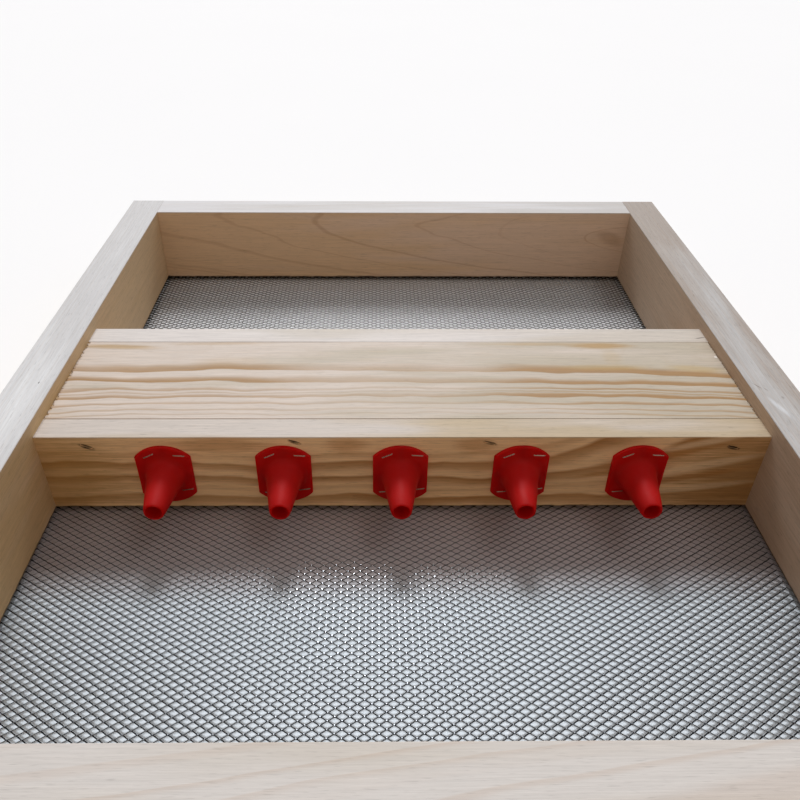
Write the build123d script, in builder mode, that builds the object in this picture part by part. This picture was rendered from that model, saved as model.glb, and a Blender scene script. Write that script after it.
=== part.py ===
from build123d import *
import os
from math import atan2, degrees, hypot

# Escape board of the cone type for a ten-frame hive, lying on its metal side with the cones in front.
# Millimetres: X across the board, +Y to the rear, +Z up.
# The origin is the middle of the footprint, on the surface that the board rests on.

# Frame of four pine rails
board_width = 430.0
board_length = 500.0
rail_height = 60.0
rail_thickness = 25.0
edge_break = 0.3  # bevel along the planed edges of every board

# Rebate round the inside of the frame's lower edge, for the metal floor
rebate_width = 10.0
rebate_depth = 3.5

# Tunnel across the middle, open below, where the bees come in
tunnel_width = 110.0  # front to back, over both of its rails
tunnel_drop = 8.0  # from the frame's rim down to the tunnel's top
tunnel_rail_thickness = 16.0
cover_thickness = 12.0

# Expanded metal floor, drawn as flat diamonds at a coarser pitch than the real 6 by 4 sheet
mesh_thickness = 1.6
mesh_clearance = 0.5  # from the sheet's edge to the wall of the rebate
mesh_lap = 13.0  # of each sheet under its tunnel rail
mesh_pitch_across = 47.0  # about, as the diamonds share the open part evenly
mesh_pitch_along = 28.0
mesh_strand = 5.0

# Plastic cones: the bees walk out through the tip and don't find the way back
cone_margin = 65.0  # from each side rail to the axis of the nearest cone
cone_drift = [-0.6, -0.5, -1.6, -0.5, -0.6]  # as the cones were put on by hand
cone_length = 30.0  # from the rail's face to the tip
cone_root_diameter = 20.0
cone_tip_diameter = 10.6
cone_wall = 1.5
cone_flare = 1.6  # where the horn spreads into the flange
flare_taper = 45.0
cone_flats = 24  # that stand for the round of the horn and keep the five cones light
flange_thickness = 1.6
flange_ledge = 9.0  # beyond the root, above and below
flange_side = 4.5  # beyond the root, left and right, to the straight sides

# Staples of square wire: a drift gives a staple's place across and up, and its tilt
staple_crown = 6.4
staple_wire = 0.7
staple_sink = 0.7  # of a crown that is driven below the face of the wood
staple_dent = 1.5  # width of the mark that is punched into the wood above such a crown
cone_staple_leg = 12.0
cone_staple_drift = [(-7.1, 13.4, 26.0), (8.8, 13.6, -3.0), (-8.2, -11.6, 6.0), (10.2, -9.8, 9.0)]
cover_staple_leg = 30.0
cover_staple_margin = 22.0  # from each side rail to the nearest staple
cover_staple_drift = [(4.0, 0.0, -23.0), (-0.6, 2.9, -20.0), (-11.4, 2.2, -15.0), (4.0, -1.1, -17.0)]
frame_staple_leg = 45.0
frame_staples_per_joint = 2
corner_staple_spacing = 30.0
tunnel_staple_spacing = 24.0
mesh_staple_leg = 12.0
mesh_staples_across = 4
mesh_staples_along = 1
turned_crown = 90.0  # tilt of a crown that stands across its face instead of along it


def row(count, pitch):
    """Places of evenly spaced pieces, measured from the middle of their row."""
    return [(number - (count - 1) / 2) * pitch for number in range(count)]


def row_between(count, margin):
    """Places of evenly spaced pieces across the inside of the frame, the outer ones so far from its sides."""
    return row(count, (inner_width - 2 * margin) / (count - 1))


# Places that follow from the sizes above
inner_width = board_width - 2 * rail_thickness
inner_length = board_length - 2 * rail_thickness
tunnel_top = rail_height - tunnel_drop
tunnel_floor = rebate_depth
tunnel_rail_height = tunnel_top - tunnel_floor
tunnel_middle = (tunnel_top + tunnel_floor) / 2
tunnel_face = tunnel_width / 2
tunnel_inside = tunnel_face - tunnel_rail_thickness
cover_middle = tunnel_top - cover_thickness / 2
bay_length = inner_length / 2 - tunnel_face
bay_middle = tunnel_face + bay_length / 2
mesh_underside = rebate_depth - mesh_thickness
cone_places = [place + shift for place, shift in zip(row_between(len(cone_drift), cone_margin), cone_drift)]
cone_root_radius = cone_root_diameter / 2
cone_tip_radius = cone_tip_diameter / 2
bore_root_radius = cone_root_radius - cone_wall
bore_tip_radius = cone_tip_radius - cone_wall
flange_radius = cone_root_radius + flange_ledge
flange_width = cone_root_diameter + 2 * flange_side

# Faces that staples are driven into: local Z points out of the face
left_seat = Plane((-board_width / 2, 0, 0), x_dir=(0, -1, 0), z_dir=(-1, 0, 0))
right_seat = Plane((board_width / 2, 0, 0), x_dir=(0, 1, 0), z_dir=(1, 0, 0))
front_cover_seat = Plane((0, -tunnel_face, cover_middle), x_dir=(1, 0, 0), z_dir=(0, -1, 0))
rear_cover_seat = Plane((0, tunnel_face, cover_middle), x_dir=(-1, 0, 0), z_dir=(0, 1, 0))
mesh_seat = Plane((0, 0, mesh_underside), x_dir=(1, 0, 0), z_dir=(0, 0, -1))


def flange_seat(place, depth=0.0):
    """Plane across a cone's axis, so far in front of the rail's face, with Z towards the tip."""
    return Plane((place, -tunnel_face - depth, tunnel_middle), x_dir=(1, 0, 0), z_dir=(0, -1, 0))


def staple_plane(seat, along, up, tilt=0.0):
    """Plane of a staple's outline: X along the crown, Y out of the face that it is driven into."""
    return Plane(seat.location * Pos(along, up) * Rot(0, 0, tilt) * Rot(90, 0, 0))


def frame_staple_planes(line, spacing, middle):
    """Staples through both side rails into the ends of two rails that lie across the board."""
    return [
        staple_plane(seat, along, middle + up, turned_crown)
        for seat in (left_seat, right_seat)
        for along in (-line, line)
        for up in row(frame_staples_per_joint, spacing)
    ]


def cover_staple_planes(seat):
    """Staples through a tunnel rail into the edge of the cover, driven by hand and a little askew."""
    places = row_between(len(cover_staple_drift), cover_staple_margin)
    return [
        staple_plane(seat, place + shift, lift, tilt)
        for place, (shift, lift, tilt) in zip(places, cover_staple_drift)
    ]


def cone_staple_planes(place):
    """Staples through the four corners of a cone's flange."""
    seat = flange_seat(place, flange_thickness)
    return [staple_plane(seat, across, up, tilt) for across, up, tilt in cone_staple_drift]


def mesh_staple_planes(side):
    """Staples round one sheet: along the end rail, the tunnel rail and both side rails."""
    end_line = inner_length / 2 + rebate_width / 2
    lap_line = tunnel_face - mesh_lap / 2
    side_line = inner_width / 2 + rebate_width / 2
    planes = []
    for across in row(mesh_staples_across, inner_width / mesh_staples_across):
        planes.append(staple_plane(mesh_seat, across, -side * end_line))
        planes.append(staple_plane(mesh_seat, across, -side * lap_line))
    for along in row(mesh_staples_along, bay_length / mesh_staples_along):
        for across in (-side_line, side_line):
            planes.append(staple_plane(mesh_seat, across, -side * (bay_middle + along), turned_crown))
    return planes


def staple_outline(leg, crown_top):
    """A crown, its top so far above the face, and two legs that go straight in."""
    with Locations((0, crown_top)):
        Rectangle(staple_crown, staple_wire + leg, align=(Align.CENTER, Align.MAX))
    with Locations((0, crown_top - staple_wire)):
        Rectangle(staple_crown - 2 * staple_wire, leg, align=(Align.CENTER, Align.MAX), mode=Mode.SUBTRACT)


def frustum(seat, radius, length, taper):
    """A round form with flats that stands on its seat and narrows from there on."""
    with BuildPart() as form:
        with BuildSketch(seat):
            RegularPolygon(radius, cone_flats)
        extrude(amount=length)
        draft(form.faces().filter_by(seat, reverse=True), seat, taper)
    return form.part


os.makedirs("parts", exist_ok=True)

# Staples: each group with the planes that it stands in, its legs and the height of its crowns
corner_line = (board_length - rail_thickness) / 2
tunnel_line = (tunnel_width - tunnel_rail_thickness) / 2
staple_groups = {
    "corner_staples": (
        frame_staple_planes(corner_line, corner_staple_spacing, rail_height / 2),
        frame_staple_leg,
        -staple_sink,
    ),
    "tunnel_staples": (
        frame_staple_planes(tunnel_line, tunnel_staple_spacing, tunnel_middle),
        frame_staple_leg,
        -staple_sink,
    ),
    "front_cover_staples": (cover_staple_planes(front_cover_seat), cover_staple_leg, -staple_sink),
    "rear_cover_staples": (cover_staple_planes(rear_cover_seat), cover_staple_leg, -staple_sink),
    "front_mesh_staples": (mesh_staple_planes(-1), mesh_staple_leg, staple_wire),
    "rear_mesh_staples": (mesh_staple_planes(1), mesh_staple_leg, staple_wire),
}
for number, place in enumerate(cone_places, start=1):
    staple_groups[f"cone_staples_{number}"] = (cone_staple_planes(place), cone_staple_leg, staple_wire)

staple_cuts = {}
for name, (planes, leg, crown_top) in staple_groups.items():
    with BuildPart() as staples:
        with BuildSketch(*planes):
            staple_outline(leg, crown_top)
        extrude(amount=staple_wire / 2, both=True)
    staples.part.label = name
    export_step(staples.part, f"parts/{name}.step")

    # What the group cuts on its way in: its own shape, and a dent above a crown that is sunk
    with BuildPart() as cut:
        add(staples.part)
        if crown_top < 0:
            with BuildSketch(*planes):
                Rectangle(staple_crown, -crown_top, align=(Align.CENTER, Align.MAX))
            extrude(amount=staple_dent / 2, both=True)
    staple_cuts[name] = cut.part

# Cones: a flange with two straight sides and a hollow horn that narrows to the exit
horn_length = cone_length - flange_thickness
horn_taper = degrees(atan2(cone_root_radius - cone_tip_radius, horn_length))
bore_taper = degrees(atan2(bore_root_radius - bore_tip_radius, cone_length))
for number, place in enumerate(cone_places, start=1):
    root = flange_seat(place, flange_thickness)
    horn = frustum(root, cone_root_radius, horn_length, horn_taper)
    flare = frustum(root, cone_root_radius + cone_flare, cone_flare, flare_taper)
    bore = frustum(flange_seat(place), bore_root_radius, cone_length, bore_taper)
    with BuildPart() as cone:
        with BuildSketch(flange_seat(place)):
            Circle(flange_radius)
            Rectangle(flange_width, 2 * flange_radius, mode=Mode.INTERSECT)
        extrude(amount=flange_thickness)
        add(horn)
        add(flare)
        add(bore, mode=Mode.SUBTRACT)
        add(staple_cuts[f"cone_staples_{number}"], mode=Mode.SUBTRACT)
    cone.part.label = f"escape_cone_{number}"
    export_step(cone.part, f"parts/escape_cone_{number}.step")

# Side rails, the full length of the board
for name, side in (("left_side_rail", -1), ("right_side_rail", 1)):
    with BuildPart() as rail:
        with BuildSketch():
            with Locations((side * (board_width - rail_thickness) / 2, 0)):
                Rectangle(rail_thickness, board_length)
        extrude(amount=rail_height)
        chamfer(rail.edges().filter_by(Axis.Y), length=edge_break)
        with BuildSketch():
            Rectangle(inner_width + 2 * rebate_width, inner_length + 2 * rebate_width)
        extrude(amount=rebate_depth, mode=Mode.SUBTRACT)
        for group in ("corner_staples", "tunnel_staples", "front_mesh_staples", "rear_mesh_staples"):
            add(staple_cuts[group], mode=Mode.SUBTRACT)
    rail.part.label = name
    export_step(rail.part, f"parts/{name}.step")

# End rails, butted between the side rails
for name, side in (("front_end_rail", -1), ("rear_end_rail", 1)):
    with BuildPart() as rail:
        with BuildSketch():
            with Locations((0, side * (board_length - rail_thickness) / 2)):
                Rectangle(inner_width, rail_thickness)
        extrude(amount=rail_height)
        chamfer(rail.edges().filter_by(Axis.X), length=edge_break)
        with BuildSketch():
            Rectangle(inner_width, inner_length + 2 * rebate_width)
        extrude(amount=rebate_depth, mode=Mode.SUBTRACT)
        for group in ("corner_staples", "front_mesh_staples", "rear_mesh_staples"):
            add(staple_cuts[group], mode=Mode.SUBTRACT)
    rail.part.label = name
    export_step(rail.part, f"parts/{name}.step")

# Front rail of the tunnel, with a hole behind each cone
with BuildPart() as tunnel_front_rail:
    with BuildSketch(Plane.XY.offset(tunnel_floor)):
        with Locations((0, -tunnel_face + tunnel_rail_thickness / 2)):
            Rectangle(inner_width, tunnel_rail_thickness)
    extrude(amount=tunnel_rail_height)
    chamfer(tunnel_front_rail.edges().filter_by(Axis.X), length=edge_break)
    with Locations(*[flange_seat(place) for place in cone_places]):
        Hole(bore_root_radius, depth=tunnel_rail_thickness)
    for group, cut in staple_cuts.items():
        if group.startswith("cone_staples") or group in (
            "tunnel_staples", "front_cover_staples", "front_mesh_staples"
        ):
            add(cut, mode=Mode.SUBTRACT)
tunnel_front_rail.part.label = "tunnel_front_rail"
export_step(tunnel_front_rail.part, "parts/tunnel_front_rail.step")

# Rear rail of the tunnel
with BuildPart() as tunnel_rear_rail:
    with BuildSketch(Plane.XY.offset(tunnel_floor)):
        with Locations((0, tunnel_face - tunnel_rail_thickness / 2)):
            Rectangle(inner_width, tunnel_rail_thickness)
    extrude(amount=tunnel_rail_height)
    chamfer(tunnel_rear_rail.edges().filter_by(Axis.X), length=edge_break)
    for group in ("tunnel_staples", "rear_cover_staples", "rear_mesh_staples"):
        add(staple_cuts[group], mode=Mode.SUBTRACT)
tunnel_rear_rail.part.label = "tunnel_rear_rail"
export_step(tunnel_rear_rail.part, "parts/tunnel_rear_rail.step")

# Cover of the tunnel, flush between its rails
with BuildPart() as tunnel_cover:
    with BuildSketch(Plane.XY.offset(tunnel_top - cover_thickness)):
        Rectangle(inner_width, 2 * tunnel_inside)
    extrude(amount=cover_thickness)
    chamfer(tunnel_cover.edges().filter_by(Axis.X), length=edge_break)
    for group in ("front_cover_staples", "rear_cover_staples"):
        add(staple_cuts[group], mode=Mode.SUBTRACT)
tunnel_cover.part.label = "tunnel_cover"
export_step(tunnel_cover.part, "parts/tunnel_cover.step")

# Metal floor: a sheet in each bay, open diamonds up to the rails and a plain margin under the wood
sheet_width = inner_width + 2 * (rebate_width - mesh_clearance)
sheet_length = bay_length + rebate_width - mesh_clearance + mesh_lap
sheet_middle = bay_middle + (rebate_width - mesh_clearance - mesh_lap) / 2
columns = round(inner_width / mesh_pitch_across)
rows = round(bay_length / mesh_pitch_along)
diamond_width = inner_width / columns
diamond_length = bay_length / rows
diamond_inradius = diamond_width * diamond_length / 2 / hypot(diamond_width, diamond_length)
opening_share = 1 - mesh_strand / 2 / diamond_inradius
opening_width = opening_share * diamond_width
opening_length = opening_share * diamond_length
opening_corners = [
    (opening_width / 2, 0),
    (0, opening_length / 2),
    (-opening_width / 2, 0),
    (0, -opening_length / 2),
]

# Strands between the diamonds of one bay, which stand in staggered rows and are cut off by the wood
with BuildSketch() as strands:
    Rectangle(inner_width, bay_length)
    with GridLocations(diamond_width, diamond_length, columns, rows):
        Polygon(*opening_corners, mode=Mode.SUBTRACT)
    with GridLocations(diamond_width, diamond_length, columns + 1, rows + 1):
        Polygon(*opening_corners, mode=Mode.SUBTRACT)

for name, side in (("front", -1), ("rear", 1)):
    with BuildPart() as sheet:
        with BuildSketch(Plane.XY.offset(mesh_underside)):
            with Locations((0, side * sheet_middle)):
                Rectangle(sheet_width, sheet_length)
            with Locations((0, side * bay_middle)):
                Rectangle(inner_width, bay_length, mode=Mode.SUBTRACT)
                add(strands.sketch)
        extrude(amount=mesh_thickness)
        add(staple_cuts[f"{name}_mesh_staples"], mode=Mode.SUBTRACT)
    sheet.part.label = f"{name}_mesh_panel"
    export_step(sheet.part, f"parts/{name}_mesh_panel.step")
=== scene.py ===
# Bee escape board: a pine frame with an expanded metal floor, a covered tunnel and five plastic cones.
import math
import random

import bmesh
import bpy
from mathutils import Matrix, Vector


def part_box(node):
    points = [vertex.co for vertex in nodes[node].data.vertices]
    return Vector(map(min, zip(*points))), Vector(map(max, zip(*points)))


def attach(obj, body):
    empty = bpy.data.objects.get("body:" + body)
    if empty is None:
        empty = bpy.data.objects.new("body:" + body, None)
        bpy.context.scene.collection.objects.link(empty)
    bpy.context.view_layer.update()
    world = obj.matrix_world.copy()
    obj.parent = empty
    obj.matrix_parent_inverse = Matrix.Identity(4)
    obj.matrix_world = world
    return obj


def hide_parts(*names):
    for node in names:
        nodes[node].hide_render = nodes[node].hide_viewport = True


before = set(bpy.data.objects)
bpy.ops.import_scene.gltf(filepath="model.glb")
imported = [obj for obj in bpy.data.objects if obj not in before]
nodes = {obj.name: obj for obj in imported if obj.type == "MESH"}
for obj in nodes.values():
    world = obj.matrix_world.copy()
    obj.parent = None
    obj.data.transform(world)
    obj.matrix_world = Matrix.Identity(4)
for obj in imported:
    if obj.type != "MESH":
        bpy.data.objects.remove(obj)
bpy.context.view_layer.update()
mm = 0.001
print("frame loaded:", len(nodes), "nodes")


# Node trees

def addNode(tree, kind, inputs=None, **settings):
    node = tree.nodes.new(kind)
    for name, value in settings.items():
        setattr(node, name, value)
    for key, value in (inputs or {}).items():
        if isinstance(value, bpy.types.NodeSocket):
            tree.links.new(value, node.inputs[key])
        else:
            node.inputs[key].default_value = value
    return node


def calc(tree, operation, first, second=0.0, third=0.0):
    node = addNode(tree, "ShaderNodeMath", {0: first, 1: second, 2: third}, operation=operation)
    return node.outputs[0]


def xyz(tree, x=0.0, y=0.0, z=0.0):
    return addNode(tree, "ShaderNodeCombineXYZ", {0: x, 1: y, 2: z}).outputs[0]


def rescale(tree, value, low, high, toLow=0.0, toHigh=1.0, smooth=False):
    kind = "SMOOTHSTEP" if smooth else "LINEAR"
    node = addNode(tree, "ShaderNodeMapRange", {0: value, 1: low, 2: high, 3: toLow, 4: toHigh},
                   interpolation_type=kind)
    return node.outputs[0]


def noise(tree, place, detail=2.0, roughness=0.5, output=0):
    node = addNode(tree, "ShaderNodeTexNoise", {"Vector": place, "Scale": 1.0, "Detail": detail,
                                                "Roughness": roughness})
    return node.outputs[output]


def fromNoise(tree, value, toLow=0.0, toHigh=1.0):
    # most of a noise lies between these two levels
    return rescale(tree, value, 0.3, 0.7, toLow, toHigh)


def scaledNoise(tree, place, scales, detail=2.0):
    scaled = addNode(tree, "ShaderNodeMapping", {"Vector": place, "Scale": scales}).outputs[0]
    return noise(tree, scaled, detail)


def blendColours(tree, share, first, second, how="MIX"):
    first, second = (value if isinstance(value, bpy.types.NodeSocket) else (*value, 1.0)
                     for value in (first, second))
    node = addNode(tree, "ShaderNodeMix", {0: share, 6: first, 7: second}, data_type="RGBA", blend_type=how)
    return node.outputs[2]


def dim(tree, colour, level):
    return blendColours(tree, 1.0, colour, xyz(tree, level, level, level), how="MULTIPLY")


def ramp(tree, value, stops):
    node = addNode(tree, "ShaderNodeValToRGB", {0: value})
    points = node.color_ramp.elements
    while len(points) < len(stops):
        points.new(0.5)
    for point, (place, level) in zip(points, sorted(stops)):
        point.position = place
        point.color = (level, level, level, 1.0)
    return node.outputs[0]


def objectPlace(tree):
    return addNode(tree, "ShaderNodeTexCoord").outputs["Object"]


def axesOf(tree, vector):
    return addNode(tree, "ShaderNodeSeparateXYZ", {0: vector}).outputs


def inMillimetres(tree, value):
    return calc(tree, "MULTIPLY", value, 1.0 / mm)


def newMaterial(name):
    material = bpy.data.materials.new(name)
    material.use_nodes = True
    tree = material.node_tree
    tree.nodes.clear()
    shader = addNode(tree, "ShaderNodeBsdfPrincipled")
    addNode(tree, "ShaderNodeOutputMaterial", {"Surface": shader.outputs[0]})
    return material, tree, shader


def addBump(tree, shader, height, strength, depth):
    bump = addNode(tree, "ShaderNodeBump", {"Strength": strength, "Distance": depth * mm, "Height": height})
    tree.links.new(bump.outputs[0], shader.inputs["Normal"])


# Pieces

def paintNode(node, material):
    # for a piece that keeps the shape of its solid
    materials = nodes[node].data.materials
    materials.clear()
    materials.append(material)


def addPiece(name, data, node):
    piece = bpy.data.objects.new(name, data)
    bpy.context.scene.collection.objects.link(piece)
    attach(piece, "root")
    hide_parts(node)


def finishMesh(name, mesh, node, material, smoothAngle=None):
    data = bpy.data.meshes.new(name)
    mesh.to_mesh(data)
    mesh.free()
    data.materials.append(material)
    if smoothAngle is not None:
        data.shade_smooth()
        data.set_sharp_from_angle(angle=math.radians(smoothAngle))
    addPiece(name, data, node)


# Pine: growth rings round a pith line, so faces, edges and end grain belong together

pineBase = {
    "along": "X",  # the way the fibres run
    "pith": (0.0, 0.0),  # mm, across and up
    "lean": (0.0, 0.0),  # how the pith drifts along the board
    "ringGap": 2.0,
    "ringDrift": (0.16, 2.2),  # how often the gaps vary along the radius, and by how many rings
    "lateStart": 0.35,  # share of a ring at which its dark side begins
    "lateEnd": (0.9, 0.93),  # where it is deepest, and where it begins to end
    "faintest": 0.35,  # ring, against the strongest
    "wobble": 1.2,
    "wobbleLength": 90.0,
    "wobbleAcross": 26.0,
    "wobbleDetail": 2.5,
    "early": (0.62, 0.47, 0.32),
    "tone": (0.58, 0.42, 0.27),
    "late": (0.38, 0.20, 0.09),
    "shadeDrift": 0.0,  # painted light falloff: how far the colour turns from one tone to the other, from one end to the other
    "toneTurn": (0.35, 0.68),  # levels of the broad noise between which one tone turns into the other
    "top": (0.60, 0.54, 0.48),  # upper face painted paler, as if lit from above
    "litTopTone": (0.60, 0.54, 0.48),
    "topAt": 60.0,
    "topSkin": (0.5, 0.2),  # mm below the top between which a side turns into it
    "faceRings": 0.45,  # how dark the rings are
    "topRings": 0.25,
    "lineDepth": 0.9,
    "lineMiddle": 0.68,  # tone halfway through the soft side of a drawn ring
    "lineUneven": (0.75, 1.2),
    "lineWobble": 1.0,  # how much more the drawn rings stray than the others
    "lineEdge": 0.35,  # mm over which the sharp side of a ring comes in
    "middleDepth": 1.0,  # of the drawn rings halfway along the board
    "middleReach": (40.0, 85.0),  # mm from the middle between which it wears off
    "rightDepth": 1.0,  # of the drawn rings at the right end
    "rightReach": (20.0, 120.0),  # mm along between which it comes in
    "fineGrain": (0.035, 1.1, 4.0, 0.65),  # noise per mm along and across, its detail and its roughness
    "broadGrain": (0.008, 0.06),
    "fleckGrain": (0.16, 2.1, 1.0),
    "fibre": 0.10,
    "fibreRange": (0.25, 0.75),
    "fleck": 0.16,
    "fleckEdge": (0.6, 0.76),
    "roughness": (0.52, 0.70),
    "roughRange": (0.2, 0.8),
    "specular": 0.32,
    "bump": (0.25, 0.3),  # strength, and mm
    "ringRelief": 0.6,  # of the rings, against the fibres
    "marks": [],  # middle, half sizes, turn, depth and colour of a stain or a scuff
    "markFray": 0.9,
    "markEdge": (1.45, 0.75),  # from nothing to full, in half sizes and with the fray added
    "foot": None,  # the inner face that stands on the metal floor, with painted shade along its foot
    "footShade": {"fray": 2.0, "top": (5.6, 4.9), "reach": (1.5, 1.0), "depth": 0.9,
                 "colour": (0.02, 0.015, 0.012)},
}


def growthRings(tree, look, run, across, up, shakes):
    offsets = []
    for value, start, lean, shake in zip((across, up), look["pith"], look["lean"], shakes):
        value = calc(tree, "ADD", calc(tree, "SUBTRACT", value, start), shake)
        value = calc(tree, "MULTIPLY_ADD", run, -lean, value)
        offsets.append(calc(tree, "MULTIPLY", value, value))
    radius = calc(tree, "SQRT", calc(tree, "ADD", *offsets))
    often, byRings = look["ringDrift"]
    uneven = noise(tree, xyz(tree, calc(tree, "MULTIPLY", radius, often)), detail=1.0)
    count = calc(tree, "MULTIPLY_ADD", uneven, byRings, calc(tree, "DIVIDE", radius, look["ringGap"]))
    part = calc(tree, "FRACT", count)
    deepest, ending = look["lateEnd"]
    rings = calc(tree, "MULTIPLY", rescale(tree, part, look["lateStart"], deepest, smooth=True),
                 rescale(tree, part, 1.0, ending, smooth=True))
    strength = addNode(tree, "ShaderNodeTexWhiteNoise", {"W": calc(tree, "FLOOR", count)},
                       noise_dimensions="1D").outputs[0]
    return calc(tree, "MULTIPLY", rings, rescale(tree, strength, 0.0, 1.0, look["faintest"], 1.0))


def drawnRings(tree, look, place, run, broad):
    # rings drawn where this board shows them: place, width of the soft side and depth of tone
    low, high = look["linesFrom"], look["linesTo"]
    stops = []
    for line, width, depth in look["lines"]:
        sharp, soft = (line - low) / (high - low), width / (high - low)
        edge = math.copysign(look["lineEdge"] / (high - low), soft)
        stops += [(sharp - edge, 0.0), (sharp, depth), (sharp + soft / 2, depth * look["lineMiddle"]),
                  (sharp + soft, 0.0)]
    drawn = ramp(tree, rescale(tree, place, low, high), stops)
    drawn = calc(tree, "MULTIPLY", drawn, fromNoise(tree, broad, *look["lineUneven"]))
    aside = calc(tree, "ABSOLUTE", run)
    middle = rescale(tree, aside, *look["middleReach"], look["middleDepth"], 1.0, smooth=True)
    right = rescale(tree, run, *look["rightReach"], 1.0, look["rightDepth"])
    drawn = calc(tree, "MULTIPLY", drawn, calc(tree, "MULTIPLY", middle, right))
    return calc(tree, "MULTIPLY", drawn, look["lineDepth"])


def addMarks(tree, look, colour, board, fine):
    for middle, sizes, turn, depth, paint in look["marks"]:
        spot = addNode(tree, "ShaderNodeMapping", {"Vector": board, "Location": middle, "Scale": sizes,
                                                   "Rotation": [math.radians(angle) for angle in turn]},
                       vector_type="TEXTURE").outputs[0]
        reach = addNode(tree, "ShaderNodeVectorMath", {0: spot}, operation="LENGTH").outputs["Value"]
        reach = calc(tree, "MULTIPLY_ADD", fine, look["markFray"], reach)
        share = rescale(tree, reach, *look["markEdge"], 0.0, depth, smooth=True)
        colour = blendColours(tree, share, colour, paint)
    return colour


def addFootShade(tree, look, colour, across, up, flecks):
    # painted shade: a near-black band low on the face, where it stands over the metal floor
    line = look["footShade"]
    gap = calc(tree, "ABSOLUTE", calc(tree, "SUBTRACT", across, look["foot"]))
    height = calc(tree, "MULTIPLY_ADD", flecks, line["fray"], up)
    low = rescale(tree, height, *line["top"], 0.0, line["depth"])
    share = calc(tree, "MULTIPLY", low, rescale(tree, gap, *line["reach"]))
    return blendColours(tree, share, colour, line["colour"])


def pineMaterial(name, changes):
    look = {**pineBase, **changes}
    material, tree, shader = newMaterial(name)
    x, y, z = axesOf(tree, objectPlace(tree))
    axes = (x, y, z) if look["along"] == "X" else (y, x, z)
    run, across, up = (inMillimetres(tree, axis) for axis in axes)

    def cloud(alongScale, crossScale, detail=2.0, roughness=0.5, output=0):
        scales = (alongScale, crossScale, crossScale)
        place = xyz(tree, *(calc(tree, "MULTIPLY", *pair) for pair in zip((run, across, up), scales)))
        return noise(tree, place, detail, roughness, output)

    fine = cloud(*look["fineGrain"])
    broad = cloud(*look["broadGrain"])
    flecks = cloud(*look["fleckGrain"])
    wave = cloud(1.0 / look["wobbleLength"], 1.0 / look["wobbleAcross"], look["wobbleDetail"], output=1)
    shakes = [rescale(tree, value, 0.0, 1.0, -look["wobble"], look["wobble"])
              for value in addNode(tree, "ShaderNodeSeparateColor", {0: wave}).outputs]

    rings = growthRings(tree, look, run, across, up, shakes)
    onTop = rescale(tree, up, *(look["topAt"] - depth for depth in look["topSkin"]))
    late = calc(tree, "MULTIPLY", rings, rescale(tree, onTop, 0.0, 1.0, look["faceRings"], look["topRings"]))
    if "lines" in look:
        place = look["linePlace"](tree, run, across, up)
        place = calc(tree, "MULTIPLY_ADD", shakes[0], look["lineWobble"], place)
        side = onTop if look["linesOn"] == "top" else calc(tree, "SUBTRACT", 1.0, onTop)
        drawn = calc(tree, "MULTIPLY", drawnRings(tree, look, place, run, broad), side)
        late = calc(tree, "MAXIMUM", late, drawn)

    # random tone, plus painted light falloff along the board
    toneAndShade = calc(tree, "MULTIPLY_ADD", run, look["shadeDrift"], broad)
    toneShare = rescale(tree, toneAndShade, *look["toneTurn"], smooth=True)
    colour = blendColours(tree, toneShare, look["early"], look["tone"])
    # painted light: the upper face takes its own paler colour, as if lit from above
    paintedTopLight = blendColours(tree, toneShare, look["top"], look["litTopTone"])
    colour = blendColours(tree, onTop, colour, paintedTopLight)
    colour = blendColours(tree, late, colour, look["late"])
    colour = addMarks(tree, look, colour, xyz(tree, run, across, up), fine)
    if look["foot"] is not None:
        colour = addFootShade(tree, look, colour, across, up, flecks)
    shade = rescale(tree, fine, *look["fibreRange"], 1.0 - look["fibre"], 1.0 + look["fibre"])
    shade = calc(tree, "MULTIPLY", shade, rescale(tree, flecks, *look["fleckEdge"], 1.0, 1.0 - look["fleck"]))
    tree.links.new(dim(tree, colour, shade), shader.inputs["Base Color"])

    rough = rescale(tree, fine, *look["roughRange"], *look["roughness"])
    tree.links.new(rough, shader.inputs["Roughness"])
    shader.inputs["Specular IOR Level"].default_value = look["specular"]
    height = calc(tree, "MULTIPLY_ADD", late, look["ringRelief"], fine)
    addBump(tree, shader, height, *look["bump"])
    return material


def fanPlace(tree, run, across, up):
    # level along most of the face, then fanning upwards to the right end:
    # a ring from the height p lies at p + p * p * past * past * rate / 4
    start, rate = boardLooks["tunnel_front_rail"]["fan"]
    past = calc(tree, "MAXIMUM", calc(tree, "SUBTRACT", run, start), 0.0)
    spread = calc(tree, "MULTIPLY", calc(tree, "MULTIPLY", past, past), calc(tree, "MULTIPLY", up, rate))
    root = calc(tree, "SQRT", calc(tree, "ADD", spread, 1.0))
    return calc(tree, "DIVIDE", calc(tree, "MULTIPLY", up, 2.0), calc(tree, "ADD", root, 1.0))


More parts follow.
